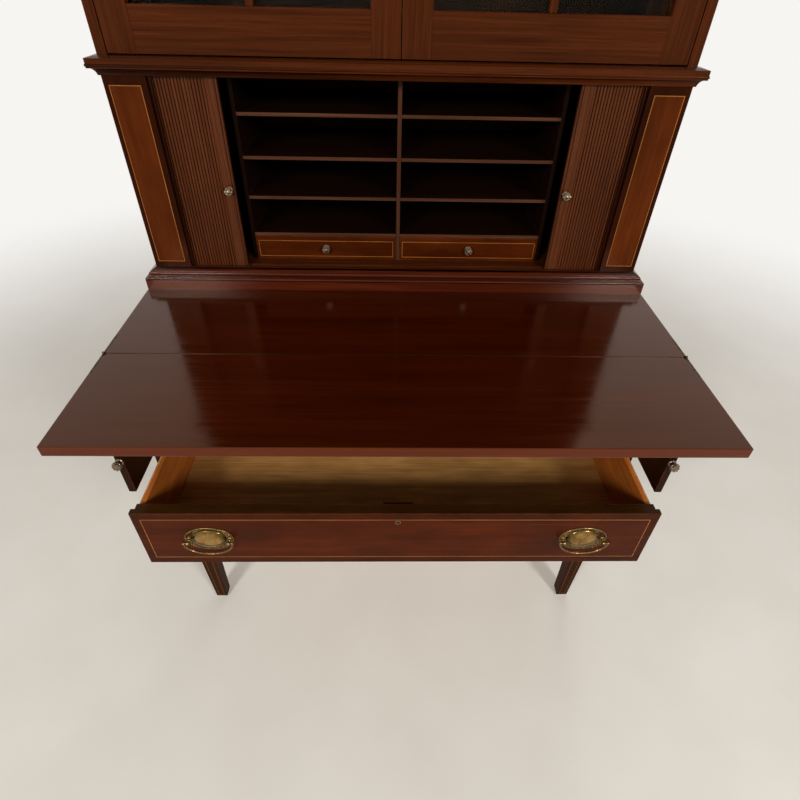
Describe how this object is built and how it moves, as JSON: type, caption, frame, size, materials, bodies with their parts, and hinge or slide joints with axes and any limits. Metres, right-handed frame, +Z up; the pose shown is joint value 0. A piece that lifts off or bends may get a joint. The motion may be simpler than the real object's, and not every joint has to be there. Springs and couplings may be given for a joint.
{
  "type": "secretary bookcase",
  "caption": "Secretary desk on tapered legs with a fold-out writing leaf on pull-out lopers, long drawers, tambour doors over letter fittings, and a glazed bookcase above.",
  "frame": {"origin": "on the floor, under the middle of the box round the object as it stands with its leaf out", "axes": "+Z up, +Y towards the back, +X along the width to the sitter's right"},
  "size_m": [0.958, 0.69, 1.99],
  "materials": {
    "mahogany": "polished",
    "drawer_wood": "satin",
    "secondary_wood": "matte",
    "brass": "aged",
    "glass": "clear",
    "glide": "satin"
  },
  "bodies": {
    "carcass": {"back_boards": "secondary_wood", "back_legs": "mahogany", "bookcase_shelves": "mahogany", "bookcase_top_board": "mahogany", "case_back_panel": "secondary_wood", "case_side_panels": "mahogany", "cornice": "mahogany", "door_hinges_fixed": "brass", "drawer_runners": "secondary_wood", "dust_board": "secondary_wood", "fixed_top": "mahogany", "foot_glides": "glide", "front_legs": "mahogany", "front_rails": "mahogany", "leaf_straps_fixed": "brass", "letter_partitions": "mahogany", "letter_shelves": "mahogany", "loper_partitions": "mahogany", "pilasters": "mahogany", "plinth_moulding": "mahogany", "tambour_floor": "mahogany", "upper_sides": "mahogany", "waist_board": "mahogany", "waist_moulding": "mahogany"},
    "leaf": {"writing_leaf": "mahogany", "leaf_straps_moving": "brass"},
    "loper_left": {"loper_left": "mahogany", "loper_knob_left": "brass"},
    "loper_right": {"loper_right": "mahogany", "loper_knob_right": "brass"},
    "upper_drawer": {"upper_drawer_front": "mahogany", "upper_drawer_box": "drawer_wood", "upper_drawer_brasses": "brass"},
    "upper_bail_left": {"upper_drawer_bail_left": "brass"},
    "upper_bail_right": {"upper_drawer_bail_right": "brass"},
    "lower_drawer": {"lower_drawer_front": "mahogany", "lower_drawer_box": "drawer_wood", "lower_drawer_brasses": "brass"},
    "lower_bail_left": {"lower_drawer_bail_left": "brass"},
    "lower_bail_right": {"lower_drawer_bail_right": "brass"},
    "small_drawer_left": {"small_drawer_left_front": "mahogany", "small_drawer_left_box": "drawer_wood", "small_drawer_left_knob": "brass"},
    "tambour_left_lead": {"tambour_left_lead": "mahogany", "tambour_left_knob": "brass"},
    "tambour_left_side": {"tambour_left_side": "mahogany"},
    "tambour_left_tail": {"tambour_left_tail": "mahogany"},
    "door_left": {"door_left_frame": "mahogany", "door_left_glass": "glass", "door_left_brasses": "brass"},
    "small_drawer_right": {"small_drawer_right_front": "mahogany", "small_drawer_right_box": "drawer_wood", "small_drawer_right_knob": "brass"},
    "tambour_right_lead": {"tambour_right_lead": "mahogany", "tambour_right_knob": "brass"},
    "tambour_right_side": {"tambour_right_side": "mahogany"},
    "tambour_right_tail": {"tambour_right_tail": "mahogany"},
    "door_right": {"door_right_frame": "mahogany", "door_right_glass": "glass", "door_right_brasses": "brass"}
  },
  "joints": [
    {"name": "leaf_fold", "type": "hinge", "parent": "carcass", "child": "leaf", "pos_m": [0, -0.135, 0.7633], "axis": [-1, 0, 0], "range_deg": [0, 180]},
    {"name": "loper_left_slide", "type": "slide", "parent": "carcass", "child": "loper_left", "axis": [0, -1, 0], "range_m": [-0.17, 0]},
    {"name": "loper_right_slide", "type": "slide", "parent": "carcass", "child": "loper_right", "axis": [0, -1, 0], "range_m": [-0.17, 0]},
    {"name": "upper_drawer_slide", "type": "slide", "parent": "carcass", "child": "upper_drawer", "axis": [0, -1, 0], "range_m": [0, 0.3]},
    {"name": "upper_bail_left_swing", "type": "hinge", "parent": "upper_drawer", "child": "upper_bail_left", "pos_m": [-0.308, -0.142, 0.67875], "axis": [-1, 0, 0], "range_deg": [-10, 100]},
    {"name": "upper_bail_right_swing", "type": "hinge", "parent": "upper_drawer", "child": "upper_bail_right", "pos_m": [0.308, -0.142, 0.67875], "axis": [-1, 0, 0], "range_deg": [-10, 100]},
    {"name": "lower_drawer_slide", "type": "slide", "parent": "carcass", "child": "lower_drawer", "axis": [0, -1, 0], "range_m": [-0.178, 0.12]},
    {"name": "lower_bail_left_swing", "type": "hinge", "parent": "lower_drawer", "child": "lower_bail_left", "pos_m": [-0.308, -0.32, 0.51835], "axis": [-1, 0, 0], "range_deg": [-10, 100]},
    {"name": "lower_bail_right_swing", "type": "hinge", "parent": "lower_drawer", "child": "lower_bail_right", "pos_m": [0.308, -0.32, 0.51835], "axis": [-1, 0, 0], "range_deg": [-10, 100]},
    {"name": "small_drawer_left_slide", "type": "slide", "parent": "carcass", "child": "small_drawer_left", "axis": [0, 1, 0], "range_m": [-0.13, 0]},
    {"name": "tambour_left_slide", "type": "slide", "parent": "carcass", "child": "tambour_left_lead", "axis": [1, 0, 0], "range_m": [0, 0.2805]},
    {"name": "tambour_left_side_fold", "type": "hinge", "parent": "tambour_left_lead", "child": "tambour_left_side", "pos_m": [-0.4243, 0.1103, 0.95825], "axis": [0, 0, 1], "range_deg": [0, 90]},
    {"name": "tambour_left_tail_fold", "type": "hinge", "parent": "tambour_left_side", "child": "tambour_left_tail", "pos_m": [-0.4243, 0.2747, 0.95825], "axis": [0, 0, 1], "range_deg": [0, 90]},
    {"name": "door_left_swing", "type": "hinge", "parent": "carcass", "child": "door_left", "pos_m": [-0.435, 0.0982, 1.507], "axis": [0, 0, -1], "range_deg": [0, 110]},
    {"name": "small_drawer_right_slide", "type": "slide", "parent": "carcass", "child": "small_drawer_right", "axis": [0, 1, 0], "range_m": [-0.13, 0]},
    {"name": "tambour_right_slide", "type": "slide", "parent": "carcass", "child": "tambour_right_lead", "axis": [-1, 0, 0], "range_m": [0, 0.2805]},
    {"name": "tambour_right_side_fold", "type": "hinge", "parent": "tambour_right_lead", "child": "tambour_right_side", "pos_m": [0.4243, 0.1103, 0.95825], "axis": [0, 0, -1], "range_deg": [0, 90]},
    {"name": "tambour_right_tail_fold", "type": "hinge", "parent": "tambour_right_side", "child": "tambour_right_tail", "pos_m": [0.4243, 0.2747, 0.95825], "axis": [0, 0, -1], "range_deg": [0, 90]},
    {"name": "door_right_swing", "type": "hinge", "parent": "carcass", "child": "door_right", "pos_m": [0.435, 0.0982, 1.507], "axis": [0, 0, 1], "range_deg": [0, 110]}
  ],
  "couplings": [
    {"joint": "tambour_left_side_fold", "follows": "tambour_left_slide", "rad_per_m": 5.6},
    {"joint": "tambour_left_tail_fold", "follows": "tambour_left_slide", "rad_per_m": 5.6},
    {"joint": "tambour_right_side_fold", "follows": "tambour_right_slide", "rad_per_m": 5.6},
    {"joint": "tambour_right_tail_fold", "follows": "tambour_right_slide", "rad_per_m": 5.6}
  ]
}
